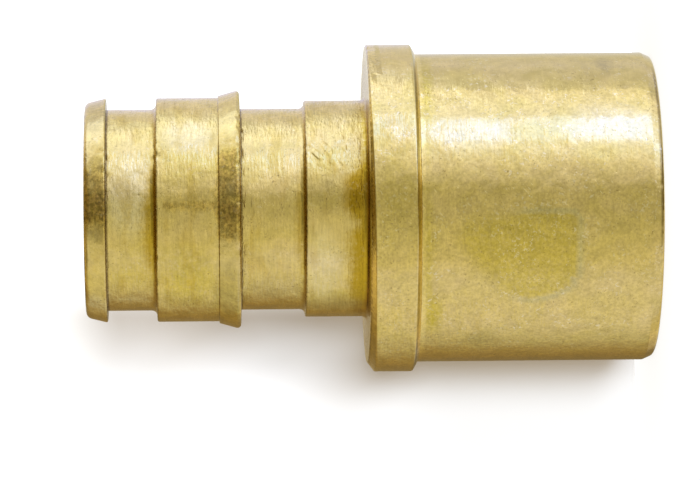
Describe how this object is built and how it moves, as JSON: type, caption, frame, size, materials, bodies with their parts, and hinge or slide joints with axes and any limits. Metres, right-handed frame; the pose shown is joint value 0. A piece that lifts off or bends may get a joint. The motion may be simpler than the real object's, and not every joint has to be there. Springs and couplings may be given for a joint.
{
  "type": "pipe adapter",
  "caption": "Turned brass pipe adapter with a ribbed insert for stretched plastic pipe, a bevelled collar and a plain stub soldered into a copper fitting.",
  "frame": {"origin": "centre of the plain stub's end face, on which the adapter stands", "axes": "+Z along the turned axis, from the plain stub towards the ribbed insert; X and Y are any two square radii"},
  "size_m": [0.0236, 0.0236, 0.0408],
  "materials": {
    "brass": "turned and tumbled satin, with light scratches and dull tarnish"
  },
  "bodies": {
    "root": {"adapter_body": "brass"}
  },
  "joints": []
}
